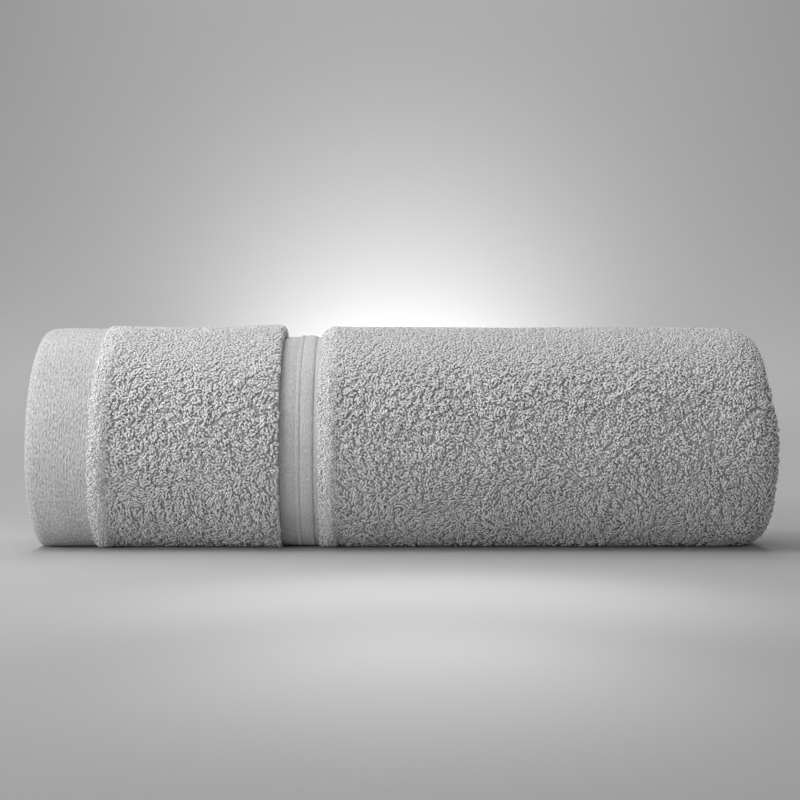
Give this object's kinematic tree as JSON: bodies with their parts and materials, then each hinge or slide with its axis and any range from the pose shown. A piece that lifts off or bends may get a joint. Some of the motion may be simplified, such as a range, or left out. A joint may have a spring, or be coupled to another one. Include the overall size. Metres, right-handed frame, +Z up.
{
  "type": "rolled bath towel",
  "caption": "Terry bath towel, folded in thirds and rolled into a round bolster, with a flat-woven hem at one end, a recessed woven border round it and a soft thick fold at the other end.",
  "frame": {"origin": "under the middle of the roll, on the surface it lies on: the centre of the bounding box's bottom face", "axes": "+X along the roll, from the woven hem towards the thick fold; -Y towards the front, the side the picture shows; +Z up"},
  "size_m": [0.4666, 0.1426, 0.1428],
  "materials": {
    "terry_cotton": "matt looped cotton pile, with a flat-woven hem and border"
  },
  "bodies": {
    "root": {"towel_roll": "terry_cotton"}
  },
  "joints": []
}
